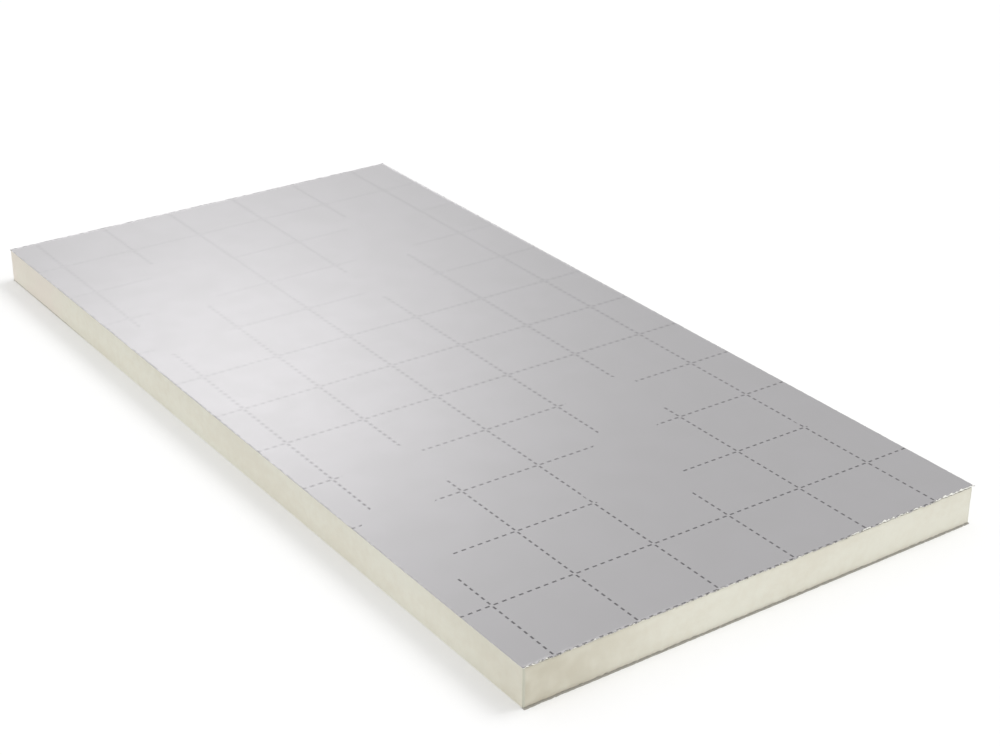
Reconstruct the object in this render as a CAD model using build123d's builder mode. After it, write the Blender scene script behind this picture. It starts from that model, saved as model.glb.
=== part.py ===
"""Foil-faced polyiso insulation board, lying flat on its underside.

A rigid slab of pale foam is bonded between two thin foil facers. The sawn foam
stands back a little from the facers, and along the far side the top facer juts
out over foam and bottom facer.

Millimetres. The origin is at the centre of the underside, +X runs along the
board's length, +Y across its width and +Z up through its thickness.
"""

from build123d import *
import os

# Overall size, measured over the facers
board_length = 1200.0
board_width = 600.0
board_thickness = 45.0

# Each facer is a laminate of foil on a paper felt
facer_thickness = 0.5

# How far the sawn foam stands back from the facers' edges
end_setback = 0.6  # at both short ends
near_setback = 0.6  # along the near side, at -Y
far_setback = 3.0  # along the far side, at +Y, under the top facer alone

# The saw and handling take the sharp edge off the foam's upright corners
foam_corner_radius = 1.5

# Worked out from the sizes above
near_side = -board_width / 2
foam_length = board_length - 2 * end_setback
foam_width = board_width - near_setback - far_setback
foam_height = board_thickness - 2 * facer_thickness
foam_near_side = near_side + near_setback
foam_top = facer_thickness + foam_height
bottom_facer_width = near_setback + foam_width

FROM_NEAR_SIDE = (Align.CENTER, Align.MIN)


def build_bottom_facer():
    """The facer that the board lies on, trimmed flush with the foam on the far side."""
    with BuildPart() as bottom_facer:
        with BuildSketch(Plane.XY):
            with Locations((0, near_side)):
                Rectangle(board_length, bottom_facer_width, align=FROM_NEAR_SIDE)
        extrude(amount=facer_thickness)
    return bottom_facer


def build_foam_core():
    """The slab of rigid foam, from the bottom facer up to the top one."""
    with BuildPart() as foam_core:
        with BuildSketch(Plane.XY.offset(facer_thickness)):
            with Locations((0, foam_near_side)):
                Rectangle(foam_length, foam_width, align=FROM_NEAR_SIDE)
        extrude(amount=foam_height)
        fillet(foam_core.edges().filter_by(Axis.Z), radius=foam_corner_radius)
    return foam_core


def build_top_facer():
    """The printed facer, as long and as wide as the whole board."""
    with BuildPart() as top_facer:
        with BuildSketch(Plane.XY.offset(foam_top)):
            with Locations((0, near_side)):
                Rectangle(board_length, board_width, align=FROM_NEAR_SIDE)
        extrude(amount=facer_thickness)
    return top_facer


pieces = {
    "bottom_facer": build_bottom_facer(),
    "foam_core": build_foam_core(),
    "top_facer": build_top_facer(),
}

os.makedirs("parts", exist_ok=True)
for name, piece in pieces.items():
    piece.part.label = name
    export_step(piece.part, f"parts/{name}.step")
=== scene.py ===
"""Looks of a foil-faced insulation board that lies flat on a pale studio floor.

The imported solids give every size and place. The two facers and the foam slab are
modelled again around them, with ragged cut foil and sawn foam. Lengths are metres
unless a name says otherwise: +X is the board's length, +Y its width, +Z is up.
"""

from __future__ import annotations

import logging
import math
from collections.abc import Callable, Sequence
from dataclasses import dataclass, field
from enum import Enum, IntEnum

import bpy
from mathutils import Matrix, Vector


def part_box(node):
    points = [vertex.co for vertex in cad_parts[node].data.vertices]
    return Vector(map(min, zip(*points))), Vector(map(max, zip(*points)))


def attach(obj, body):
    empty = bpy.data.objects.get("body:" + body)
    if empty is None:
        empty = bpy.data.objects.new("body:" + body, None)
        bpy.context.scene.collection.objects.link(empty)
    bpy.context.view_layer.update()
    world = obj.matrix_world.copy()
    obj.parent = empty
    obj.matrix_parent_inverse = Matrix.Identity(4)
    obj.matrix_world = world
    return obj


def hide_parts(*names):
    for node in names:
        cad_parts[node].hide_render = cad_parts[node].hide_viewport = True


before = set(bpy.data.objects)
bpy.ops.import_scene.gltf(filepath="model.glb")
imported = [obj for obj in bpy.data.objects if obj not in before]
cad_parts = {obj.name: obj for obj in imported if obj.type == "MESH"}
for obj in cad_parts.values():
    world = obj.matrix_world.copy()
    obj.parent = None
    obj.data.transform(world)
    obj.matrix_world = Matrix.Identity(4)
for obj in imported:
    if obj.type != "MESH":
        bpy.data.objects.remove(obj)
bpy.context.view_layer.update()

MM = 0.001
BODY = "root"
LOG = logging.getLogger("board")

# Faces that meet at less than this are shaded as one smooth surface
SMOOTH_ANGLE = math.radians(40)

# An edge that rises by less than this is level
LEVEL = 1e-6

# The values between which most of a noise lies
MOST_OF_NOISE = (0.35, 0.65)

Colour = tuple[float, float, float]
Triple = tuple[float, float, float]
Pair = tuple[float, float]


class Cut(Enum):
    """The board's four cut edges, each by the way that it faces."""

    FRONT_END = (1.0, 0.0)
    BACK_END = (-1.0, 0.0)
    FAR_SIDE = (0.0, 1.0)
    NEAR_SIDE = (0.0, -1.0)

    @property
    def axis(self) -> str:
        """The axis across this edge, as Blender's modifiers name it."""
        return "X" if self.value[0] else "Y"

    @property
    def sign(self) -> float:
        """Which way along its axis the edge faces."""
        return sum(self.value)

    def depth(self, point: Vector, low: Vector, high: Vector) -> float:
        """How far inside this edge a point lies.

        Args:
            point: the point, in the row frame.
            low: lowest corner of the piece that is cut.
            high: highest corner of that piece.

        Returns:
            The distance from the edge, positive inside the piece.
        """
        index = 0 if self.value[0] else 1
        return high[index] - point[index] if self.sign > 0 else point[index] - low[index]


class Wiring:
    """Adds nodes to one node tree and links them, so that a graph reads like a formula.

    The Mix node has its factor and its two inputs at other numbers for each kind of data.
    """

    COLOUR_INPUTS = (0, 6, 7)
    COLOUR_OUTPUT = 2
    NUMBER_INPUTS = (0, 2, 3)
    NUMBER_OUTPUT = 0

    def __init__(self, tree: bpy.types.NodeTree) -> None:
        """Keeps the tree that the nodes go into."""
        self.tree = tree

    def node(self, kind: str, **settings: object) -> bpy.types.Node:
        """Adds one node.

        Args:
            kind: Blender's name for the node.
            **settings: properties of the node to set.

        Returns:
            The new node.
        """
        made = self.tree.nodes.new(kind)
        for key, value in settings.items():
            setattr(made, key, value)
        return made

    def feed(self, socket: bpy.types.NodeSocket, value: object) -> None:
        """Links a socket to another, or sets its value.

        Args:
            socket: the input to feed.
            value: an output socket, or a plain value.
        """
        if isinstance(value, bpy.types.NodeSocket):
            self.tree.links.new(value, socket)
        else:
            socket.default_value = value

    def math(self, operation: str, *values: object) -> bpy.types.NodeSocket:
        """Adds a Math node and returns its output."""
        made = self.node("ShaderNodeMath", operation=operation)
        for socket, value in zip(made.inputs, values):
            self.feed(socket, value)
        return made.outputs[0]

    def vector(self, operation: str, *values: object, output: int = 0) -> bpy.types.NodeSocket:
        """Adds a Vector Math node and returns the output of that number."""
        made = self.node("ShaderNodeVectorMath", operation=operation)
        for socket, value in zip(made.inputs, values):
            self.feed(socket, value)
        return made.outputs[output]

    def remap(
        self, value: object, start: float, end: float, low: float = 0.0, high: float = 1.0
    ) -> bpy.types.NodeSocket:
        """Maps a value smoothly from one range to another.

        Args:
            value: the value to map.
            start: the value that becomes low.
            end: the value that becomes high.
            low: the result at start.
            high: the result at end.

        Returns:
            The mapped value.
        """
        made = self.node("ShaderNodeMapRange", interpolation_type="SMOOTHSTEP")
        for socket, given in zip(made.inputs, (value, start, end, low, high)):
            self.feed(socket, given)
        return made.outputs[0]

    def blend(self, factor: object, first: object, second: object) -> bpy.types.NodeSocket:
        """Mixes two colours and returns the result."""
        made = self.node("ShaderNodeMix", data_type="RGBA")
        for index, value in zip(self.COLOUR_INPUTS, (factor, first, second)):
            self.feed(made.inputs[index], (*value, 1.0) if isinstance(value, tuple) else value)
        return made.outputs[self.COLOUR_OUTPUT]

    def between(self, factor: object, first: object, second: object) -> bpy.types.NodeSocket:
        """Mixes two numbers and returns the result."""
        made = self.node("ShaderNodeMix", data_type="FLOAT")
        for index, value in zip(self.NUMBER_INPUTS, (factor, first, second)):
            self.feed(made.inputs[index], value)
        return made.outputs[self.NUMBER_OUTPUT]

    def split(self, vector: object) -> tuple[bpy.types.NodeSocket, ...]:
        """Takes a vector apart and returns its three numbers."""
        made = self.node("ShaderNodeSeparateXYZ")
        self.feed(made.inputs[0], vector)
        return tuple(made.outputs)

    def scale(self, vector: object, factor: object) -> bpy.types.NodeSocket:
        """Multiplies a vector or a colour by a number and returns the result."""
        made = self.node("ShaderNodeVectorMath", operation="SCALE")
        self.feed(made.inputs[0], vector)
        self.feed(made.inputs["Scale"], factor)
        return made.outputs[0]

    def noise(
        self, place: object, size: float, detail: float = 2.0, stretch: Triple = (1.0, 1.0, 1.0)
    ) -> bpy.types.NodeSocket:
        """Adds a noise of a given grain.

        Args:
            place: the position to read it at.
            size: how large its grains are, in metres.
            detail: how many finer octaves it has.
            stretch: how many times longer the grains are along each axis.

        Returns:
            The noise, from 0 to 1.
        """
        scaled = self.vector("DIVIDE", place, tuple(size * times for times in stretch))
        made = self.node("ShaderNodeTexNoise")
        self.feed(made.inputs["Vector"], scaled)
        self.feed(made.inputs["Scale"], 1.0)
        self.feed(made.inputs["Detail"], detail)
        return made.outputs[0]

    def patches(self, place: object, size: float, span: Pair, least: float) -> bpy.types.NodeSocket:
        """Adds a strength that changes in patches.

        Args:
            place: the position to read it at.
            size: how large the patches are, in metres.
            span: the values of the noise that become the least strength and 1.
            least: the least strength.

        Returns:
            The strength, from least to 1.
        """
        return self.remap(self.noise(place, size), *span, least, 1.0)

    def use(self, group: bpy.types.NodeTree, **inputs: object) -> bpy.types.Node:
        """Places a node group.

        Args:
            group: the group.
            **inputs: its inputs by name, with a low line for each space.

        Returns:
            The group's node, whose outputs have the group's own names.
        """
        made = self.node("ShaderNodeGroup", node_tree=group)
        for key, value in inputs.items():
            self.feed(made.inputs[key.replace("_", " ")], value)
        return made


def shader_group(
    name: str, inputs: dict[str, str], outputs: dict[str, str],
    wire: Callable[[Wiring, bpy.types.Node, bpy.types.Node], None],
) -> bpy.types.NodeTree:
    """Makes a shader node group once, and gives it again when it is asked for again.

    Args:
        name: the group's name.
        inputs: its inputs, each name with its kind, such as Float or Vector.
        outputs: its outputs, in the same way.
        wire: fills the group, given its wiring, its input node and its output node.

    Returns:
        The group.
    """
    if name in bpy.data.node_groups:
        return bpy.data.node_groups[name]
    tree = bpy.data.node_groups.new(name, "ShaderNodeTree")
    for direction, sockets in (("INPUT", inputs), ("OUTPUT", outputs)):
        for label, kind in sockets.items():
            tree.interface.new_socket(label, in_out=direction, socket_type=f"NodeSocket{kind}")
    wiring = Wiring(tree)
    wire(wiring, wiring.node("NodeGroupInput"), wiring.node("NodeGroupOutput"))
    return tree


@dataclass(frozen=True)
class BarePlaces:
    """The rows of bare places in the print, around which the grid breaks off."""

    repeat: float = 302.7 * MM
    loop_shift: Triple = (-91 * MM, 50 * MM, 0.0)
    loop_radius: float = 54 * MM
    band_shift: Triple = (-78 * MM, 84 * MM, 0.0)
    band_radius: float = 31 * MM
    rows: tuple[Pair, ...] = ((-312 * MM, 125.6 * MM), (302.4 * MM, 53.6 * MM))

    def group(self) -> bpy.types.NodeTree:
        """The node group that tells what lies in one row of bare places."""
        return shader_group(
            "bare_place",
            {"Place": "Vector", "Along": "Float", "Across": "Float"},
            {"Bare": "Float"},
            self._wire,
        )

    def _wire(self, w: Wiring, given: bpy.types.Node, out: bpy.types.Node) -> None:
        """Fills the group: two round ends and a slanting band between them."""
        half = self.repeat / 2
        x, y, _ = w.split(given.outputs["Place"])
        along = w.math("SUBTRACT", x, given.outputs["Along"])
        across = w.math("SUBTRACT", y, given.outputs["Across"])
        local = w.node("ShaderNodeCombineXYZ")
        w.feed(local.inputs[0], along)
        w.feed(local.inputs[1], w.math("WRAP", across, half, -half))
        place = local.outputs[0]
        opposite = tuple(-value for value in self.loop_shift)
        loops = [
            w.math("LESS_THAN", w.vector("DISTANCE", place, centre, output=1), self.loop_radius)
            for centre in (self.loop_shift, opposite)
        ]
        on_band = w.vector("DOT_PRODUCT", place, self.band_shift, output=1)
        slide = w.math("DIVIDE", on_band, Vector(self.band_shift).length_squared)
        held = w.math("MINIMUM", w.math("MAXIMUM", slide, -1.0), 1.0)
        nearest = w.scale(self.band_shift, held)
        off = w.vector("DISTANCE", place, nearest, output=1)
        band = w.math("LESS_THAN", off, self.band_radius)
        w.feed(out.inputs[0], w.math("MAXIMUM", w.math("MAXIMUM", *loops), band))

    def mask(self, w: Wiring, place: bpy.types.NodeSocket) -> bpy.types.NodeSocket:
        """Marks every bare place on the facer.

        Args:
            w: the wiring of the material.
            place: the position on the piece.

        Returns:
            1 in a bare place and 0 elsewhere.
        """
        masks = [
            w.use(self.group(), Place=place, Along=along, Across=across).outputs[0]
            for along, across in self.rows
        ]
        return w.math("MAXIMUM", *masks)


@dataclass(frozen=True)
class GridPrint:
    """The dashed cutting grid on the upper facer."""

    pitch_along: float = 100.0 * MM
    pitch_across: float = 100.9 * MM
    middle_row: float = -4.2 * MM
    last_row: float = 598.4 * MM  # the one on the front end's edge
    middle_column: float = 39.5 * MM
    dashes_a_pitch: int = 10
    dash: float = 5.3 * MM
    line: float = 2.1 * MM
    soft: float = 0.5 * MM  # how far the crispest print fades at its edges
    bleed: float = 5.0 * MM  # how far the softest print does
    bleed_at: Pair = (-200 * MM, 480 * MM)
    wander: float = 0.25 * MM  # how unevenly the dashes' edges run
    wander_over: float = 4 * MM
    ink: Colour = (0.125, 0.12, 0.13)
    gloss: float = 0.13
    grain: float = 2.5 * MM
    grain_span: Pair = (0.3, 0.6)
    thin: float = 0.8  # the ink's strength where a grain of it is thinnest
    full: float = 0.85  # its strength near the front end
    faint_columns: float = 0.25  # its strength near the back end, faded by painted glare
    faint_rows: float = 0.16
    faint_at: Pair = (-350 * MM, 450 * MM)
    bare: BarePlaces = field(default_factory=BarePlaces)

    def group(self) -> bpy.types.NodeTree:
        """The node group that draws one set of parallel dashed lines."""
        return shader_group(
            "dashed_lines",
            {"Off Line": "Float", "On Line": "Float", "Pitch": "Float", "Dash Step": "Float",
             "Soft": "Float"},
            {"Ink": "Float"},
            self._wire,
        )

    def _wire(self, w: Wiring, given: bpy.types.Node, out: bpy.types.Node) -> None:
        """Fills the group: near a line, and within a dash on it, with a gap at each crossing."""
        off_line, on_line, pitch, step, soft = given.outputs[:5]
        from_gap = w.math("ADD", on_line, w.math("MULTIPLY", step, 0.5))
        line = self._band(w, off_line, pitch, self.line, soft)
        w.feed(out.inputs[0], w.math("MULTIPLY", line, self._band(w, from_gap, step, self.dash, soft)))

    @staticmethod
    def _band(
        w: Wiring, position: object, step: bpy.types.NodeSocket, width: float, soft: bpy.types.NodeSocket
    ) -> bpy.types.NodeSocket:
        """Marks a band that comes back after every step.

        Args:
            w: the wiring of the group.
            position: the position across the bands, 0 in the middle of one.
            step: how far apart they are.
            width: how wide each is.
            soft: how far its edge fades to either side.

        Returns:
            1 on a band and 0 beside it, with a soft edge.
        """
        half, back = (w.math("MULTIPLY", step, share) for share in (0.5, -0.5))
        off = w.math("ABSOLUTE", w.math("WRAP", position, half, back))
        outer, inner = (w.math(way, width / 2, soft) for way in ("ADD", "SUBTRACT"))
        return w.remap(off, outer, inner)

    def mask(self, w: Wiring, place: bpy.types.NodeSocket) -> bpy.types.NodeSocket:
        """Draws the whole grid.

        Args:
            w: the wiring of the material.
            place: the position on the piece.

        Returns:
            How much ink there is, from 0 to 1.
        """
        uneven = w.math("SUBTRACT", w.noise(place, self.wander_over), 0.5)
        shake = w.math("MULTIPLY", uneven, self.wander)
        x, y, _ = w.split(place)
        along = w.math("ADD", self._from_middle_row(w, x), shake)
        across = w.math("ADD", w.math("SUBTRACT", y, self.middle_column), shake)
        soft = w.remap(x, *self.bleed_at, self.bleed, self.soft)
        lines = []
        for off, on, pitch, other, faint in (
            (across, along, self.pitch_across, self.pitch_along, self.faint_columns),
            (along, across, self.pitch_along, self.pitch_across, self.faint_rows),
        ):
            step = other / self.dashes_a_pitch
            drawn = w.use(self.group(), Off_Line=off, On_Line=on, Pitch=pitch, Dash_Step=step, Soft=soft)
            # Painted glare: the print fades towards the back end, where the foil's glare washes it out
            glare_fade = w.remap(x, *self.faint_at, faint, self.full)
            lines.append(w.math("MULTIPLY", drawn.outputs[0], glare_fade))
        grain = w.patches(place, self.grain, self.grain_span, self.thin)
        open_foil = w.math("SUBTRACT", 1.0, self.bare.mask(w, place))
        return w.math("MULTIPLY", w.math("MULTIPLY", w.math("MAXIMUM", *lines), grain), open_foil)

    def _from_middle_row(self, w: Wiring, along: bpy.types.NodeSocket) -> bpy.types.NodeSocket:
        """Measures along the board from the middle row, with the last pitch a little longer."""
        count = round((self.last_row - self.middle_row) / self.pitch_along)
        one_before = self.middle_row + (count - 1) * self.pitch_along
        excess = 1.0 - self.pitch_along / (self.last_row - one_before)
        beyond = w.math("MAXIMUM", w.math("SUBTRACT", along, one_before), 0.0)
        even = w.math("SUBTRACT", along, w.math("MULTIPLY", beyond, excess))
        return w.math("SUBTRACT", even, self.middle_row)


@dataclass(frozen=True)
class RolledFoil:
    """The pattern of rolled foil: a faint cloudy sheen with long streaks, and soft dents."""

    streak: float = 2.5 * MM
    streak_stretch: Triple = (60.0, 1.0, 1.0)
    streak_share: float = 0.12
    cloud: float = 45 * MM
    dent: float = 16 * MM
    grain: float = 0.8 * MM

    def group(self) -> bpy.types.NodeTree:
        """The node group that gives the foil's sheen and height."""
        return shader_group(
            "rolled_foil",
            {"Place": "Vector", "Dents": "Float", "Grain": "Float"},
            {"Sheen": "Float", "Height": "Float"},
            self._wire,
        )

    def _wire(self, w: Wiring, given: bpy.types.Node, out: bpy.types.Node) -> None:
        """Fills the group: streaks among clouds for the sheen, dents and grain for the height."""
        place = given.outputs["Place"]
        streaks = w.noise(place, self.streak, stretch=self.streak_stretch)
        clouds = w.noise(place, self.cloud, detail=3.0)
        dents = w.noise(place, self.dent)
        grain = w.noise(place, self.grain, detail=1.0)
        w.feed(out.inputs["Sheen"], w.between(self.streak_share, clouds, streaks))
        dented = w.math("MULTIPLY", dents, given.outputs["Dents"])
        grained = w.math("MULTIPLY", grain, given.outputs["Grain"])
        w.feed(out.inputs["Height"], w.math("ADD", dented, grained))


@dataclass(frozen=True)
class CutCells:
    """The pattern of cut cells: a fine pitted face with larger uneven patches."""

    pit_span: Pair = (0.1, 0.6)
    patch: float = 9 * MM

    def group(self) -> bpy.types.NodeTree:
        """The node group that gives the pits and the patches."""
        return shader_group(
            "cut_cells",
            {"Place": "Vector", "Cell": "Float"},
            {"Pits": "Float", "Patch": "Float"},
            self._wire,
        )

    def _wire(self, w: Wiring, given: bpy.types.Node, out: bpy.types.Node) -> None:
        """Fills the group: one pit in the middle of each cell, and patches over many cells."""
        place = given.outputs["Place"]
        cells = w.node("ShaderNodeTexVoronoi", feature="F1")
        w.feed(cells.inputs["Vector"], place)
        w.feed(cells.inputs["Scale"], w.math("DIVIDE", 1.0, given.outputs["Cell"]))
        w.feed(out.inputs["Pits"], w.remap(cells.outputs["Distance"], *self.pit_span))
        w.feed(out.inputs["Patch"], w.noise(place, self.patch, detail=4.0))


def new_material(name: str) -> tuple[bpy.types.Material, Wiring, bpy.types.Node, bpy.types.NodeSocket]:
    """Starts a material.

    Args:
        name: its name.

    Returns:
        The material, its wiring, its Principled BSDF and the position on the piece.
    """
    material = bpy.data.materials.new(name)
    material.use_nodes = True
    wiring = Wiring(material.node_tree)
    shader = material.node_tree.nodes["Principled BSDF"]
    place = wiring.node("ShaderNodeTexCoord").outputs["Object"]
    return material, wiring, shader, place


def bump(w: Wiring, shader: bpy.types.Node, height: bpy.types.NodeSocket, rise: float) -> None:
    """Feeds a height to a shader's normal.

    Args:
        w: the wiring of the material.
        shader: the shader.
        height: the height, from 0 to 1.
        rise: how high 1 stands, in metres.
    """
    relief = w.node("ShaderNodeBump")
    w.feed(relief.inputs["Strength"], 1.0)
    w.feed(relief.inputs["Distance"], rise)
    w.feed(relief.inputs["Height"], height)
    w.feed(shader.inputs["Normal"], relief.outputs[0])


@dataclass(frozen=True)
class FoilFinish:
    """Satin aluminium foil, with or without the printed grid.

    The ink is a thin dark lacquer over the foil, smoother than the foil itself, so it
    shows what it mirrors more sharply.
    """

    name: str
    metal: Colour = (0.714, 0.70, 0.716)
    dull_metal: Colour = (0.703, 0.69, 0.703)
    roughness: Pair = (0.220, 0.226)
    dents: float = 0.4
    grain: float = 0.03
    rise: float = 0.04 * MM
    print: GridPrint | None = None

    def material(self) -> bpy.types.Material:
        """Makes the material."""
        material, w, shader, place = new_material(self.name)
        foil = w.use(RolledFoil().group(), Place=place, Dents=self.dents, Grain=self.grain)
        sheen = w.remap(foil.outputs["Sheen"], *MOST_OF_NOISE)
        colour = w.blend(sheen, self.metal, self.dull_metal)
        roughness = w.between(sheen, *self.roughness)
        if self.print:
            ink = self.print.mask(w, place)
            colour = w.blend(ink, colour, self.print.ink)
            roughness = w.between(ink, roughness, self.print.gloss)
        shader.inputs["Metallic"].default_value = 1.0
        w.feed(shader.inputs["Base Color"], colour)
        w.feed(shader.inputs["Roughness"], roughness)
        bump(w, shader, foil.outputs["Height"], self.rise)
        return material


@dataclass(frozen=True)
class FoamFinish:
    """Sawn closed-cell foam, pale cream, with a dark glue line and painted shade where it meets a facer."""

    name: str
    cream: Colour = (0.785, 0.772, 0.675)
    buff: Colour = (0.745, 0.718, 0.615)
    broad: float = 120 * MM  # the size of the broad clouds of cream and buff
    broad_stretch: Triple = (1.0, 1.0, 0.3)
    broad_share: float = 0.6
    cell: float = 0.7 * MM
    # Painted shade: how dark the cut cells' pits are
    pit_shade: float = 0.97
    pit_depth: float = 0.5
    rise: float = 0.12 * MM
    end_band: float = 2 * MM  # all that lies this near to an end belongs to its face
    side_painted_light: Pair = (1.055, 0.955)  # painted light: the long sides' brightness at the foot and at the top
    # Painted light: the ends' own brightness, set apart from the long sides'
    end_painted_light: float = 0.995
    # Painted shade: the glue line at the foam's foot and under the ends' foil is dark and wide enough to
    # stand in for the contact shadow and the shade under the foil
    glue_and_shade: Colour = (0.20, 0.193, 0.16)
    glue_and_shade_patch: float = 5 * MM
    foot_glue_and_shade: Pair = (0.1 * MM, 2.8 * MM)  # its height where there is least and most of it
    head_glue_and_shade: Pair = (0.3 * MM, 1.4 * MM)
    glue_and_shade_from: Pair = (-320 * MM, -460 * MM)  # where the long sides' feet grow dark
    glue_and_shade_at_ends: float = 0.28  # how much glue line and painted shade there is at both ends' feet
    handled: Colour = (0.56, 0.565, 0.475)
    handled_reach: float = 3.2 * MM
    # Painted shade: the foam grows darker and yellower towards the foot of the near front corner
    corner_shade: Colour = (0.58, 0.545, 0.44)
    corner_shade_centre: Triple = (600 * MM, -300 * MM, 15 * MM)
    corner_shade_reach: float = 190 * MM
    corner_shade_beside: float = 0.35  # how strong it is on the long side, next to 1 at the front end
    corner_shade_patch: float = 30 * MM
    corner_shade_span: Pair = (0.25, 0.6)
    corner_shade_least: float = 0.55
    rosy: Colour = (0.775, 0.725, 0.645)
    rosy_from: Pair = (-400 * MM, -470 * MM)
    rosy_patch: float = 60 * MM
    rosy_span: Pair = (0.3, 0.5)
    rosy_least: float = 0.5
    roughness: float = 0.85
    specular: float = 0.2

    def material(self, low: Vector, high: Vector) -> bpy.types.Material:
        """Makes the material.

        Args:
            low: lowest corner of the slab.
            high: highest corner of the slab.

        Returns:
            The material.
        """
        material, w, shader, place = new_material(self.name)
        foam = w.use(CutCells().group(), Place=place, Cell=self.cell)
        along, across, upward = w.split(place)
        at_end = w.math("GREATER_THAN", w.math("ABSOLUTE", along), high.x - self.end_band)
        at_front = w.math("GREATER_THAN", along, high.x - self.end_band)
        broad = w.noise(place, self.broad, detail=3.0, stretch=self.broad_stretch)
        patch = w.between(self.broad_share, foam.outputs["Patch"], broad)
        colour = w.blend(w.remap(patch, *MOST_OF_NOISE), self.cream, self.buff)
        # Painted shade near the near front corner
        colour = w.blend(self._corner_shade_share(w, place, at_front), colour, self.corner_shade)
        rosy = w.patches(place, self.rosy_patch, self.rosy_span, self.rosy_least)
        colour = w.blend(w.math("MULTIPLY", w.remap(along, *self.rosy_from), rosy), colour, self.rosy)
        colour = w.blend(self._handled_share(w, along, across, low, high), colour, self.handled)
        # Painted shade in the pits of the cut cells
        pit_shaded = w.remap(foam.outputs["Pits"], 0.0, 1.0, self.pit_shade, 1.0)
        # Painted light: the long sides paler at the foot and darker at the top, the ends at their own
        # brightness
        painted_light = w.between(at_end, w.remap(upward, low.z, high.z, *self.side_painted_light), self.end_painted_light)
        shaded = w.scale(colour, w.math("MULTIPLY", pit_shaded, painted_light))
        # The glue line, with painted shade at the foot and under the ends' foil
        glue_and_shade_share = self._glue_and_shade_share(w, place, at_end, low.z, high.z)
        w.feed(shader.inputs["Base Color"], w.blend(glue_and_shade_share, shaded, self.glue_and_shade))
        shader.inputs["Roughness"].default_value = self.roughness
        shader.inputs["Specular IOR Level"].default_value = self.specular
        pits = w.math("MULTIPLY", foam.outputs["Pits"], self.pit_depth)
        bump(w, shader, w.math("ADD", pits, foam.outputs["Patch"]), self.rise)
        return material

    def _corner_shade_share(
        self, w: Wiring, place: bpy.types.NodeSocket, at_front: bpy.types.NodeSocket
    ) -> bpy.types.NodeSocket:
        """How much painted shade darkens the foam: most at the foot of the near front corner.

        Args:
            w: the wiring of the material.
            place: the position on the piece.
            at_front: 1 at the front end and 0 elsewhere.

        Returns:
            The share, from 0 to 1.
        """
        from_corner = w.vector("DISTANCE", place, self.corner_shade_centre, output=1)
        blotch = w.patches(place, self.corner_shade_patch, self.corner_shade_span, self.corner_shade_least)
        corner_shaded = w.math("MULTIPLY", w.remap(from_corner, 0.0, self.corner_shade_reach, 1.0, 0.0), blotch)
        return w.math("MULTIPLY", corner_shaded, w.between(at_front, self.corner_shade_beside, 1.0))

    def _glue_and_shade_share(
        self, w: Wiring, place: bpy.types.NodeSocket, at_end: bpy.types.NodeSocket,
        foot: float, head: float,
    ) -> bpy.types.NodeSocket:
        """How much glue line and painted shade darken the foam, along its foot and along the ends' tops.

        Args:
            w: the wiring of the material.
            place: the position on the piece.
            at_end: 1 at both ends and 0 elsewhere.
            foot: the height of the slab's foot.
            head: the height of the slab's top.

        Returns:
            The share, from 0 to 1.
        """
        along, _, upward = w.split(place)
        uneven = w.noise(place, self.glue_and_shade_patch)
        most_glue_and_shade = w.between(at_end, w.remap(along, *self.glue_and_shade_from), self.glue_and_shade_at_ends)
        from_foot = w.math("SUBTRACT", upward, foot)
        from_head = w.math("SUBTRACT", head, upward)
        glue_and_shade_bands = []
        for height, share, reach in (
            (from_foot, most_glue_and_shade, self.foot_glue_and_shade), (from_head, at_end, self.head_glue_and_shade)
        ):
            top = w.math("MULTIPLY", uneven, w.between(share, *reach))
            glue_and_shade_bands.append(w.remap(w.math("DIVIDE", height, top), 1.0, 0.0))
        return w.math("MAXIMUM", *glue_and_shade_bands)

    def _handled_share(
        self, w: Wiring, along: bpy.types.NodeSocket, across: bpy.types.NodeSocket, low: Vector, high: Vector
    ) -> bpy.types.NodeSocket:
        """How much handling has darkened the foam: most on the slab's upright corners.

        Args:
            w: the wiring of the material.
            along: the position along the board.
            across: the position across the board.
            low: lowest corner of the slab.
            high: highest corner of the slab.

        Returns:
            The share, from 0 to 1.
        """
        centre = (low + high) / 2
        near = []
        for position, middle, edge in ((along, centre.x, high.x), (across, centre.y, high.y)):
            out = w.math("ABSOLUTE", w.math("SUBTRACT", position, middle))
            near.append(w.remap(out, edge - middle - self.handled_reach, edge - middle))
        return w.math("MULTIPLY", *near)


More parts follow.
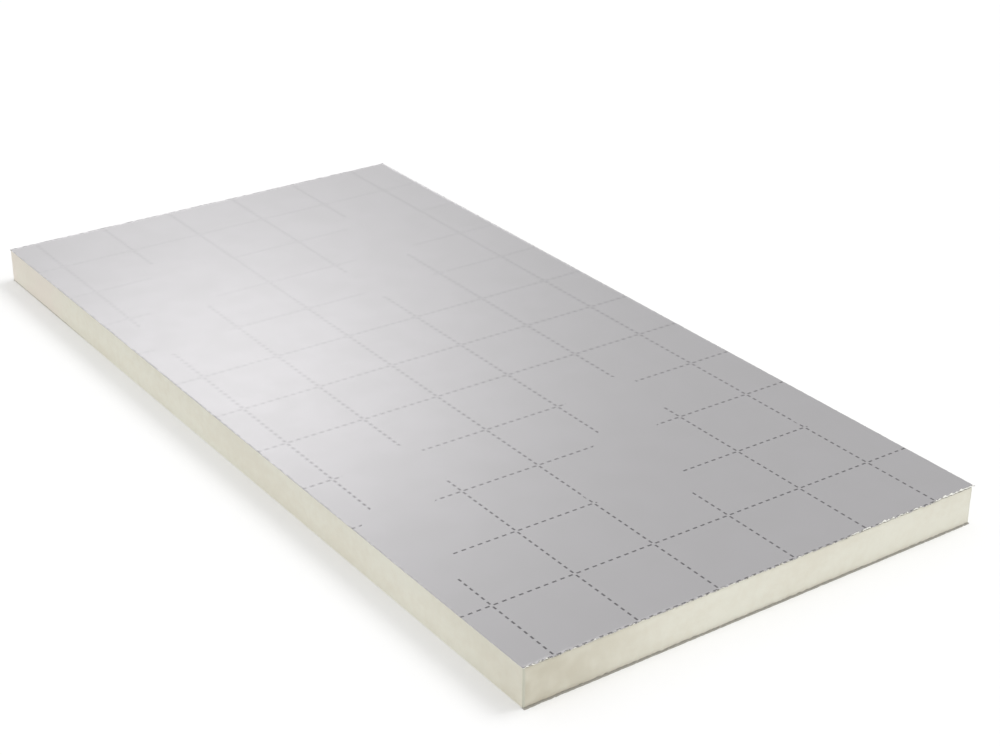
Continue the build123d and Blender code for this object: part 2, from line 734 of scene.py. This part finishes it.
@dataclass(frozen=True)
class TornFoilFinish:
    """The cut edge of a facer, where torn foil lies over felt, most at the front end; the felt at the ends
    is dark with painted shade.
    """

    name: str
    foil: Colour = (0.77, 0.76, 0.73)
    felt_and_shade: Colour = (0.17, 0.16, 0.13)  # at both ends: dark felt, with painted shade under the foil's edge and at the board's foot
    side_felt: Colour = (0.62, 0.61, 0.57)
    tear: float = 2.5 * MM
    share: Pair = (0.52, 0.66)  # the values of the noise between which felt becomes foil
    front_share: float = 0.12  # what is added to the noise at the front end
    end_from: float = 596 * MM
    felt_roughness: float = 0.85
    foil_roughness: float = 0.65
    cell: float = 0.5 * MM
    rise: float = 0.1 * MM

    def material(self) -> bpy.types.Material:
        """Makes the material."""
        material, w, shader, place = new_material(self.name)
        along, _, _ = w.split(place)
        at_front = w.math("GREATER_THAN", along, self.end_from)
        at_end = w.math("GREATER_THAN", w.math("ABSOLUTE", along), self.end_from)
        more = w.math("MULTIPLY", at_front, self.front_share)
        torn = w.remap(w.math("ADD", w.noise(place, self.tear), more), *self.share)
        # Painted shade: the felt is darker at both ends
        felt_and_shade = w.blend(at_end, self.side_felt, self.felt_and_shade)
        w.feed(shader.inputs["Base Color"], w.blend(torn, felt_and_shade, self.foil))
        w.feed(shader.inputs["Metallic"], torn)
        w.feed(shader.inputs["Roughness"], w.between(torn, self.felt_roughness, self.foil_roughness))
        edge = w.use(CutCells().group(), Place=place, Cell=self.cell)
        bump(w, shader, edge.outputs["Pits"], self.rise)
        return material


@dataclass(frozen=True)
class BackingFinish:
    """The facer's pale back, with foam still on it, which shows along the cut edges."""

    name: str
    colour: Colour = (0.95, 0.945, 0.90)
    roughness: float = 0.9
    specular: float = 0.2
    grain: float = 0.6 * MM
    rise: float = 0.05 * MM

    def material(self) -> bpy.types.Material:
        """Makes the material."""
        material, w, shader, place = new_material(self.name)
        shader.inputs["Base Color"].default_value = (*self.colour, 1.0)
        shader.inputs["Roughness"].default_value = self.roughness
        shader.inputs["Specular IOR Level"].default_value = self.specular
        bump(w, shader, w.noise(place, self.grain), self.rise)
        return material


def begin_piece() -> None:
    """Leaves nothing selected, so that operators act on the next piece alone."""
    if bpy.context.object and bpy.context.object.mode != "OBJECT":
        bpy.ops.object.mode_set(mode="OBJECT")
    bpy.ops.object.select_all(action="DESELECT")


def settle(piece: bpy.types.Object) -> None:
    """Moves a piece's place, turn and size into its mesh."""
    begin_piece()
    piece.select_set(True)
    bpy.context.view_layer.objects.active = piece
    bpy.ops.object.transform_apply(location=True, rotation=True, scale=True)


def weigh(piece: bpy.types.Object, name: str, weight: Callable[[Vector], float]) -> str:
    """Gives a piece a vertex group.

    Args:
        piece: the piece.
        name: the group's name.
        weight: the weight of a vertex, from its place.

    Returns:
        The group's name.
    """
    group = piece.vertex_groups.new(name=name)
    for vertex in piece.data.vertices:
        value = min(max(weight(vertex.co), 0.0), 1.0)
        if value > 0.0:
            group.add([vertex.index], value, "REPLACE")
    return name


def modify(piece: bpy.types.Object, kind: str, **settings: object) -> None:
    """Adds a modifier to a piece and applies it.

    Args:
        piece: the piece.
        kind: Blender's name for the modifier.
        **settings: properties of the modifier to set.
    """
    modifier = piece.modifiers.new(kind.lower(), kind)
    for key, value in settings.items():
        setattr(modifier, key, value)
    bpy.context.view_layer.objects.active = piece
    bpy.ops.object.modifier_apply(modifier=modifier.name)


@dataclass(frozen=True)
class Clouds:
    """A cloud pattern for a Displace modifier: its grain, its hardness and its finer octaves."""

    size: float
    contrast: float = 1.0
    depth: int = 2

    def texture(self, name: str) -> bpy.types.Texture:
        """Makes a texture of this pattern and gives it a name."""
        made = bpy.data.textures.new(name, "CLOUDS")
        made.noise_scale = self.size
        made.noise_depth = self.depth
        made.contrast = self.contrast
        return made


@dataclass
class Piece:
    """One piece of the board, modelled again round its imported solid."""

    name: str
    node: str
    slot: str
    piece: bpy.types.Object | None = field(default=None, init=False)

    def __post_init__(self) -> None:
        """Reads the piece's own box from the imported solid."""
        self.low, self.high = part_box(self.node)
        self.centre = (self.low + self.high) / 2
        self.length, self.width, self.thickness = self.high - self.low

    def push(
        self, group: str, direction: str, strength: float, level: float = 0.0, clouds: Clouds | None = None
    ) -> None:
        """Pushes the points of a vertex group along one axis.

        Args:
            group: the vertex group.
            direction: the axis, as Blender's modifiers name it.
            strength: how far a point of full weight goes.
            level: the value of the pattern that stays in place.
            clouds: the pattern that the push follows. Without it the push is even.
        """
        settings = {"direction": direction, "strength": strength, "mid_level": level, "vertex_group": group}
        if clouds:
            texture = clouds.texture(f"{self.name}_{group}")
            settings |= {"texture": texture, "texture_coords": "LOCAL"}
        modify(self.piece, "DISPLACE", **settings)

    def smooth(self) -> None:
        """Settles the finished piece and smooths its shading, except at sharp edges."""
        settle(self.piece)
        bpy.ops.object.shade_smooth_by_angle(angle=SMOOTH_ANGLE)

    def dress(self) -> None:
        """Joins the piece to the frame."""
        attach(self.piece, BODY)
        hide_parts(self.node)
        LOG.info("%s: %d faces", self.name, len(self.piece.data.polygons))


@dataclass(frozen=True)
class Fold:
    """A stretch of the front end where the saw folded the foil's very edge up."""

    start: float
    end: float
    rise: float
    ease: float = 2.0 * MM

    def share(self, across: float) -> float:
        """How far a place across the board lies in this stretch, from 0 to 1."""
        inside = min(across - self.start, self.end - across)
        return min(max(inside / self.ease + 0.5, 0.0), 1.0)


class Coat(IntEnum):
    """A facer's materials, by their places in its list."""

    UPPER = 0
    TORN = 1
    UNDER = 2


@dataclass
class Facer(Piece):
    """One foil facer: a thin sheet with a fine ragged rim where it was cut."""

    upper: FoilFinish | BackingFinish
    torn: TornFoilFinish
    under: FoilFinish | BackingFinish
    wave: float = 0.0  # how far the outer face rises and sinks
    spread: float = 0.0  # how far the felt is frayed out at the front end, carrying painted contact shadow over the floor
    felt_and_shade_strip: float = 0.0  # how wide the strip of dark felt along the front end is, which also paints the contact shadow at the foot
    flick: float = 0.0  # how far the front end's edge flicks up and down
    folds: tuple[Fold, ...] = ()
    cell: float = 12.5 * MM  # the size of a face in the sheet's flat middle
    cuts: int = 9  # how often each edge of its border is cut, for the rim
    rim_steps: tuple[float, ...] = (6.0 * MM, 3.6 * MM, 2.0 * MM, 0.8 * MM, 0.0)
    ragged: float = 0.9 * MM  # how far the tear goes where it is roughest
    ragged_level: float = 0.6  # the value of its clouds at which a cut stays in place
    ragged_clouds: Clouds = Clouds(2.6 * MM, 2.2)
    corner_reach: float = 40 * MM
    calm: float = 0.35  # the tear's strength away from the front corners
    curl: float = 0.45 * MM
    curl_reach: float = 1.7 * MM
    front_curl: float = 0.8 * MM
    front_reach: float = 2.6 * MM
    curl_clouds: Clouds = Clouds(6 * MM, 1.6)
    flick_level: float = 0.35
    flick_clouds: Clouds = Clouds(3.2 * MM, 2.6, 1)
    bend: float = 0.8 * MM  # how far behind the edge a fold lifts the foil
    fold_clouds: Clouds = Clouds(5 * MM, 1.3)
    fold_peak: float = 0.6  # the value of its clouds at which a fold has its full rise
    swell_clouds: Clouds = Clouds(130 * MM, 1.0, 1)
    steep: float = 0.93  # a face whose normal rises less than this is torn

    def build(self) -> None:
        """Models the facer."""
        self._lay_sheet()
        self._draw_rim()
        self._tear_rim()
        self._thicken()
        if self.wave:
            self._wave_face()
        self.smooth()

    def _lay_sheet(self) -> None:
        """Lays the flat middle of the sheet, up to where its rim begins."""
        begin_piece()
        inner = 2 * self.rim_steps[0]
        size = (self.length - inner, self.width - inner)
        bpy.ops.mesh.primitive_grid_add(
            x_subdivisions=round(size[0] / self.cell),
            y_subdivisions=round(size[1] / self.cell),
            size=1.0,
            location=(self.centre.x, self.centre.y, self.high.z),
        )
        self.piece = bpy.context.object
        self.piece.name = self.name
        self.piece.scale = (*size, 1.0)
        settle(self.piece)

    def _draw_rim(self) -> None:
        """Draws the rim out from the sheet's border in ever narrower steps."""
        bpy.ops.object.mode_set(mode="EDIT")
        bpy.ops.mesh.select_mode(type="EDGE")
        bpy.ops.mesh.select_all(action="DESELECT")
        bpy.ops.mesh.select_non_manifold(extend=False)
        bpy.ops.mesh.subdivide(number_cuts=self.cuts)
        for inside, outside in zip(self.rim_steps, self.rim_steps[1:]):
            bpy.ops.mesh.select_all(action="DESELECT")
            bpy.ops.mesh.select_non_manifold(extend=False)
            bpy.ops.mesh.extrude_edges_move()
            grow = [(size - 2 * outside) / (size - 2 * inside) for size in (self.length, self.width)]
            middle = (self.centre.x, self.centre.y, self.high.z)
            bpy.ops.transform.resize(value=(*grow, 1.0), center_override=middle)
        bpy.ops.object.mode_set(mode="OBJECT")

    def _rim_share(self, point: Vector, cut: Cut) -> float:
        """How far out on the rim a point lies, from 0 inside it to 1 at its edge."""
        return 1.0 - cut.depth(point, self.low, self.high) / self.rim_steps[0]

    def _fold_share(self, point: Vector) -> float:
        """How much of the highest fold there is at a point across the front end."""
        most = max((fold.rise for fold in self.folds), default=1.0)
        return max((fold.share(point.y) * fold.rise / most for fold in self.folds), default=0.0)

    def _roughness_of_cut(self, point: Vector, cut: Cut) -> float:
        """How roughly a cut was torn at a point: most near the front end's corners."""
        if cut is not Cut.FRONT_END:
            return self.calm
        to_corner = min(point.y - self.low.y, self.high.y - point.y)
        torn = self.calm + (1.0 - self.calm) * math.exp(-(to_corner / self.corner_reach) ** 2)
        return torn * (1.0 - self._fold_share(point))

    def _tear_rim(self) -> None:
        """Makes each cut uneven, folds and curls the upper foil, and frays the lower felt."""
        if self.flick:
            self._fold_front()
        for cut in Cut:
            def torn_share(point: Vector, side: Cut = cut) -> float:
                """The weight of the tear at a point on this side."""
                return self._rim_share(point, side) * self._roughness_of_cut(point, side)

            group = weigh(self.piece, cut.name.lower(), torn_share)
            level = self.ragged_level if cut.sign > 0 else 1.0 - self.ragged_level
            self.push(group, cut.axis, self.ragged, level, self.ragged_clouds)
        if self.flick:
            self._curl_rim()
        if self.spread:
            self._spread_front()

    def _curl_rim(self) -> None:
        """Turns the last of the foil up along every cut, more in some places than in others."""
        for cut in Cut:
            at_front = cut is Cut.FRONT_END
            reach = self.front_reach if at_front else self.curl_reach

            def turned_share(point: Vector, side: Cut = cut, reach: float = reach) -> float:
                """How much a point goes up with the curl of this side."""
                folded = self._fold_share(point) if side is Cut.FRONT_END else 0.0
                return (1.0 - side.depth(point, self.low, self.high) / reach) * (1.0 - folded)

            group = weigh(self.piece, f"{cut.name.lower()}_curl", turned_share)
            rise = self.front_curl if at_front else self.curl
            self.push(group, "Z", rise, clouds=self.curl_clouds)

    def _fold_front(self) -> None:
        """Folds the last of the front end's foil up, in small flicks and in a few longer stretches."""
        last_step = self.rim_steps[-2]

        def flick_share(point: Vector) -> float:
            """How much a point goes up with a flick, which only turns the very edge."""
            edge = max(1.0 - Cut.FRONT_END.depth(point, self.low, self.high) / last_step, 0.0)
            return edge * (1.0 - self._fold_share(point))

        def bend_share(point: Vector) -> float:
            """How much a point goes up with a fold, which also lifts the foil behind the edge."""
            depth = Cut.FRONT_END.depth(point, self.low, self.high)
            return math.exp(-depth / self.bend) * self._fold_share(point)

        flicked = weigh(self.piece, "flicked", flick_share)
        folded = weigh(self.piece, "folded", bend_share)
        self.push(flicked, "Z", self.flick, self.flick_level, self.flick_clouds)
        most = max(fold.rise for fold in self.folds)
        self.push(folded, "Z", most / self.fold_peak, clouds=self.fold_clouds)

    def _spread_front(self) -> None:
        """Lets the last of the front end's felt stand out over the floor, where the saw frayed it and where
        its dark colour paints the contact shadow.
        """
        reach = self.rim_steps[-2]

        def frayed_share(point: Vector) -> float:
            """How far a point goes out with the frayed felt, from 0 to 1."""
            return 1.0 - Cut.FRONT_END.depth(point, self.low, self.high) / reach

        self.push(weigh(self.piece, "frayed", frayed_share), "X", self.spread)

    def _is_torn(self, face: bpy.types.MeshPolygon) -> bool:
        """Whether a face of the upper side is steep, or lies on the strip of dark felt and painted shadow at
        the front end.
        """
        in_strip = Cut.FRONT_END.depth(face.center, self.low, self.high) < self.felt_and_shade_strip
        return abs(face.normal.z) < self.steep or in_strip

    def _thicken(self) -> None:
        """Gives the sheet its thickness, with the torn finish round its edge."""
        for finish in (self.upper, self.torn, self.under):
            self.piece.data.materials.append(finish.material())
        modify(self.piece, "SOLIDIFY", thickness=self.thickness, offset=-1.0,
               material_offset=Coat.UNDER, material_offset_rim=Coat.TORN)
        for face in self.piece.data.polygons:
            if face.material_index == Coat.UPPER and self._is_torn(face):
                face.material_index = Coat.TORN

    def _wave_face(self) -> None:
        """Lets the outer face rise and sink a little, as glued foil does."""
        middle = self.centre.z
        outer = weigh(self.piece, "outer_face", lambda point: 1.0 if point.z > middle else 0.0)
        self.push(outer, "Z", self.wave, 0.5, self.swell_clouds)


@dataclass
class FoamSlab(Piece):
    """The foam core, with sawn sides whose edges are a little crushed."""

    finish: FoamFinish
    corner_radius: float = 1.5 * MM
    corner_segments: int = 3
    coarse_cuts: tuple[int, int] = (23, 11)  # along X and along Y
    fine_cuts: int = 24  # in each stretch that the coarse cuts leave
    edge_rows: tuple[float, ...] = (0.4 * MM, 0.8 * MM, 1.4 * MM)
    row: float = 2.2 * MM  # the height of a row of faces in a wall's middle
    saw: float = 0.18 * MM
    saw_clouds: Clouds = Clouds(7 * MM, 1.4, 3)
    end_nick: float = 0.9 * MM
    side_nick: float = 0.2 * MM
    nick_level: float = 0.35
    nick_clouds: Clouds = Clouds(5 * MM, 2.6)
    crush: float = 0.9 * MM

    def build(self) -> None:
        """Models the slab."""
        self._lay_outline()
        self._raise_walls()
        self._saw_walls()
        self.piece.data.materials.append(self.finish.material(self.low, self.high))
        self.smooth()

    def _lay_outline(self) -> None:
        """Lays the slab's outline with rounded corners and many short edges."""
        begin_piece()
        bpy.ops.mesh.primitive_plane_add(size=1.0, location=(self.centre.x, self.centre.y, self.low.z))
        self.piece = bpy.context.object
        self.piece.name = self.name
        self.piece.scale = (self.length, self.width, 1.0)
        settle(self.piece)
        bpy.ops.object.mode_set(mode="EDIT")
        bpy.ops.mesh.select_mode(type="VERT")
        bpy.ops.mesh.select_all(action="SELECT")
        bpy.ops.mesh.bevel(
            offset=self.corner_radius, segments=self.corner_segments, affect="VERTICES"
        )
        bpy.ops.mesh.select_all(action="SELECT")
        bpy.ops.mesh.delete(type="ONLY_FACE")
        for index, cuts in enumerate(self.coarse_cuts):
            self._select_outline(index)
            bpy.ops.mesh.subdivide(number_cuts=cuts)
            self._select_outline(index)
            bpy.ops.mesh.subdivide(number_cuts=self.fine_cuts)
        bpy.ops.mesh.select_all(action="SELECT")
        bpy.ops.mesh.edge_face_add()
        bpy.ops.object.mode_set(mode="OBJECT")

    def _select_outline(self, index: int) -> None:
        """Selects the outline's straight edges that run along X, for 0, or along Y, for 1."""
        bpy.ops.mesh.select_mode(type="EDGE")
        bpy.ops.mesh.select_all(action="DESELECT")
        bpy.ops.object.mode_set(mode="OBJECT")
        points = self.piece.data.vertices
        for edge in self.piece.data.edges:
            along = points[edge.vertices[1]].co - points[edge.vertices[0]].co
            edge.select = abs(along[1 - index]) < LEVEL
        bpy.ops.object.mode_set(mode="EDIT")

    def _raise_walls(self) -> None:
        """Raises the outline in rows that are closer at the foot and at the top."""
        middle = self.thickness - 2 * sum(self.edge_rows)
        count = round(middle / self.row)
        steps = [*self.edge_rows, *[middle / count] * count, *reversed(self.edge_rows)]
        bpy.ops.object.mode_set(mode="EDIT")
        bpy.ops.mesh.select_mode(type="FACE")
        bpy.ops.mesh.select_all(action="SELECT")
        for step in steps:
            bpy.ops.mesh.extrude_region_move(TRANSFORM_OT_translate={"value": (0.0, 0.0, step)})
        bpy.ops.mesh.select_all(action="SELECT")
        bpy.ops.mesh.normals_make_consistent(inside=False)
        bpy.ops.object.mode_set(mode="OBJECT")

    def _arris_share(self, point: Vector) -> float:
        """How near a point is to the wall's top or foot, from 0 to 1 at the edge itself."""
        reach = sum(self.edge_rows)
        return 1.0 - min(point.z - self.low.z, self.high.z - point.z) / reach

    def _saw_walls(self) -> None:
        """Gives each wall the saw's uneven face, and nicks along its edges."""
        for cut in Cut:
            def on_wall(point: Vector, side: Cut = cut) -> float:
                """Whether a point lies on this wall."""
                return 1.0 if side.depth(point, self.low, self.high) < self.corner_radius else 0.0

            def on_arris(point: Vector, side: Cut = cut) -> float:
                """The weight of the nicks at a point on this wall."""
                return on_wall(point, side) * self._arris_share(point)

            wall = weigh(self.piece, f"{cut.name.lower()}_wall", on_wall)
            arris = weigh(self.piece, f"{cut.name.lower()}_arris", on_arris)
            self.push(wall, cut.axis, self.saw, 0.5, self.saw_clouds)
            nick = self.end_nick if cut.axis == "X" else self.side_nick
            self.push(arris, cut.axis, -cut.sign * nick, self.nick_level, self.nick_clouds)
        self._crush_front()

    def _crush_front(self) -> None:
        """Rounds the front end's upper edge, which the saw crushed under the foil."""
        reach = sum(self.edge_rows)

        def crushed(point: Vector) -> float:
            """How near a point on the front wall is to its upper edge, from 0 to 1."""
            on_front = Cut.FRONT_END.depth(point, self.low, self.high) < self.corner_radius
            return max(1.0 - (self.high.z - point.z) / reach, 0.0) ** 2 if on_front else 0.0

        self.push(weigh(self.piece, "crushed", crushed), "X", -self.crush)


@dataclass(frozen=True)
class Softbox:
    """A soft bright patch of the studio, which shows in the foil."""

    heading: float
    elevation: float
    width: float
    height: float
    glow: float

    @staticmethod
    def group() -> bpy.types.NodeTree:
        """The node group that tells how much of a softbox a direction sees."""

        def wire(w: Wiring, given: bpy.types.Node, out: bpy.types.Node) -> None:
            """Fills the group: a soft oval around the softbox's middle."""
            ahead, side, up = (
                w.vector("DOT_PRODUCT", given.outputs["Direction"], given.outputs[name], output=1)
                for name in ("Ahead", "Side", "Up")
            )
            across = w.math("POWER", w.math("DIVIDE", side, given.outputs["Width"]), 2.0)
            upward = w.math("POWER", w.math("DIVIDE", up, given.outputs["Height"]), 2.0)
            oval = w.math("EXPONENT", w.math("MULTIPLY", w.math("ADD", across, upward), -0.5))
            w.feed(out.inputs[0], w.math("MULTIPLY", oval, w.math("GREATER_THAN", ahead, 0.0)))

        return shader_group(
            "softbox",
            {"Direction": "Vector", "Ahead": "Vector", "Side": "Vector", "Up": "Vector",
             "Width": "Float", "Height": "Float"},
            {"Glow": "Float"},
            wire,
        )

    def seen(self, w: Wiring, direction: bpy.types.NodeSocket) -> bpy.types.NodeSocket:
        """Adds this softbox to a world.

        Args:
            w: the world's wiring.
            direction: the direction looked in.

        Returns:
            Its brightness in that direction.
        """
        turn = Matrix.Rotation(self.heading, 3, "Z") @ Matrix.Rotation(-self.elevation, 3, "Y")
        ahead, side, up = (tuple(turn @ Vector(axis)) for axis in ((1, 0, 0), (0, 1, 0), (0, 0, 1)))
        made = w.use(self.group(), Direction=direction, Ahead=ahead, Side=side, Up=up,
                     Width=self.width, Height=self.height)
        return w.math("MULTIPLY", made.outputs[0], self.glow)


@dataclass
class Studio:
    """The pale floor, the soft light and the camera."""

    floor_size: float = 60.0
    floor_colour: Colour = (0.95, 0.95, 0.95)
    seen_lit: float = 0.8  # the floor's own colour, as it is seen
    seen_white: float = 0.12  # the white that is added to it there
    ambient: float = 0.88  # the studio's light on matt surfaces
    horizon: float = 1.2  # what is seen of the studio low down
    overhead: float = 0.735  # what is seen of it high up
    fade: Pair = (math.sin(math.radians(2)), math.sin(math.radians(12)))
    key_strength: float = 0.96
    key_angle: float = math.radians(28)
    key_heading: float = math.radians(86)
    key_elevation: float = math.radians(55)
    softboxes: tuple[Softbox, ...] = (
        Softbox(math.radians(153.7), math.radians(26.8), 0.088, 0.044, 1.5),
        Softbox(math.radians(20), math.radians(34), 0.22, 0.10, 0.5),
        Softbox(math.radians(-80), math.radians(30), 0.22, 0.10, 0.5),
    )
    camera_place: Triple = (1.8122, -1.1891, 1.0970)
    camera_heading: float = math.radians(54.65)
    camera_tilt: float = math.radians(63.43)
    camera_roll: float = math.radians(0.44)
    focal_pixels: float = 1970.8
    picture_width: int = 1000
    sensor: float = 36.0

    def build(self) -> None:
        """Sets the whole studio up."""
        self._lay_floor()
        self._light_world()
        self._hang_key()
        self._place_camera()
        bpy.context.scene.view_settings.view_transform = "Standard"

    def _lay_floor(self) -> None:
        """Lays the floor, which looks white and keeps the board's shadow."""
        begin_piece()
        bpy.ops.mesh.primitive_plane_add(size=self.floor_size, location=(0.0, 0.0, 0.0))
        floor = bpy.context.object
        floor.name = "floor"
        material, w, shader, _ = new_material("studio_floor")
        tree = material.node_tree
        shader.inputs["Base Color"].default_value = (*self.floor_colour, 1.0)
        shader.inputs["Roughness"].default_value = 1.0
        shader.inputs["Specular IOR Level"].default_value = 0.0
        lit = w.node("ShaderNodeBsdfDiffuse")
        lit.inputs["Color"].default_value = (self.seen_lit,) * 3 + (1.0,)
        white = w.node("ShaderNodeEmission")
        white.inputs["Strength"].default_value = self.seen_white
        seen = w.node("ShaderNodeAddShader")
        w.feed(seen.inputs[0], lit.outputs[0])
        w.feed(seen.inputs[1], white.outputs[0])
        choice = w.node("ShaderNodeMixShader")
        w.feed(choice.inputs[0], self._seen_ray(w))
        w.feed(choice.inputs[1], shader.outputs[0])
        w.feed(choice.inputs[2], seen.outputs[0])
        w.feed(tree.nodes["Material Output"].inputs["Surface"], choice.outputs[0])
        floor.data.materials.append(material)

    @staticmethod
    def _seen_ray(w: Wiring) -> bpy.types.NodeSocket:
        """Whether a ray comes from the camera, directly or by way of metal or glass."""
        path = w.node("ShaderNodeLightPath")
        glossy = w.math("MAXIMUM", path.outputs["Is Glossy Ray"], path.outputs["Is Transmission Ray"])
        return w.math("MAXIMUM", path.outputs["Is Camera Ray"], glossy)

    def _light_world(self) -> None:
        """Makes the studio around: white at the horizon, with soft patches of light."""
        world = bpy.data.worlds.new("studio")
        bpy.context.scene.world = world
        world.use_nodes = True
        w = Wiring(world.node_tree)
        plain = world.node_tree.nodes["Background"]
        plain.inputs["Strength"].default_value = self.ambient
        plain.inputs["Color"].default_value = (1.0, 1.0, 1.0, 1.0)
        direction = w.node("ShaderNodeTexCoord").outputs["Generated"]
        _, _, upward = w.split(direction)
        brightness = w.remap(upward, *self.fade, self.horizon, self.overhead)
        for softbox in self.softboxes:
            brightness = w.math("ADD", brightness, softbox.seen(w, direction))
        seen = w.node("ShaderNodeBackground")
        w.feed(seen.inputs["Strength"], brightness)
        choice = w.node("ShaderNodeMixShader")
        w.feed(choice.inputs[0], self._seen_ray(w))
        w.feed(choice.inputs[1], plain.outputs[0])
        w.feed(choice.inputs[2], seen.outputs[0])
        w.feed(world.node_tree.nodes["World Output"].inputs["Surface"], choice.outputs[0])

    def _hang_key(self) -> None:
        """Hangs the wide key light, high on the far side, where the foil doesn't mirror it."""
        lamp = bpy.data.lights.new("key", "SUN")
        lamp.energy = self.key_strength
        lamp.angle = self.key_angle
        key = bpy.data.objects.new("key", lamp)
        bpy.context.scene.collection.objects.link(key)
        slant = math.pi / 2 - self.key_elevation
        key.matrix_world = Matrix.Rotation(self.key_heading, 4, "Z") @ Matrix.Rotation(slant, 4, "Y")
        key.visible_glossy = False

    def _place_camera(self) -> None:
        """Places the camera where the photograph was taken from."""
        lens = bpy.data.cameras.new("camera")
        lens.sensor_fit = "HORIZONTAL"
        lens.sensor_width = self.sensor
        lens.lens = self.focal_pixels / self.picture_width * self.sensor
        camera = bpy.data.objects.new("camera", lens)
        bpy.context.scene.collection.objects.link(camera)
        turn = (
            Matrix.Rotation(self.camera_heading, 4, "Z")
            @ Matrix.Rotation(self.camera_tilt, 4, "X")
            @ Matrix.Rotation(self.camera_roll, 4, "Z")
        )
        camera.matrix_world = Matrix.Translation(self.camera_place) @ turn
        bpy.context.scene.camera = camera


def pieces() -> Sequence[Facer | FoamSlab]:
    """The board's pieces, from the floor up."""
    torn = TornFoilFinish("torn_foil")
    # The lower facer's darker felt at the ends paints the contact shadow at the board's foot
    pressed = TornFoilFinish(
        "pressed_foil", felt_and_shade=(0.36, 0.345, 0.31), side_felt=(0.86, 0.85, 0.79), share=(0.72, 0.86)
    )
    return (
        Facer("lower_foil", "bottom_facer", "plain_foil",
              BackingFinish("lower_backing"), pressed, FoilFinish("plain_foil"),
              # The frayed dark felt strip at the front end paints the contact shadow at the foot
              spread=2.0 * MM, felt_and_shade_strip=1.6 * MM, ragged=0.5 * MM),
        FoamSlab("sawn_foam", "foam_core", "foam", FoamFinish("sawn_foam")),
        Facer("printed_foil", "top_facer", "printed_foil",
              FoilFinish("printed_foil", print=GridPrint()), torn, BackingFinish("upper_backing"),
              wave=0.2 * MM, flick=1.7 * MM,
              folds=(
                  Fold(-299 * MM, -289 * MM, 3.0 * MM),
                  Fold(-282 * MM, -270 * MM, 2.6 * MM),
                  Fold(-252 * MM, -246 * MM, 1.7 * MM),
                  Fold(-62 * MM, -55 * MM, 1.7 * MM),
                  Fold(16 * MM, 22 * MM, 1.7 * MM),
                  Fold(116 * MM, 127 * MM, 3.0 * MM),
                  Fold(131 * MM, 144 * MM, 2.9 * MM),
                  Fold(156 * MM, 178 * MM, 3.4 * MM),
                  Fold(185 * MM, 198 * MM, 2.5 * MM),
                  Fold(206 * MM, 219 * MM, 2.3 * MM),
                  Fold(239 * MM, 297 * MM, 3.8 * MM),
              )),
    )


def main() -> None:
    """Builds the studio and the board, in order."""
    logging.basicConfig(level=logging.INFO, format="%(message)s")
    Studio().build()
    for piece in pieces():
        piece.build()
        piece.dress()


if __name__ == "__main__":
    main()
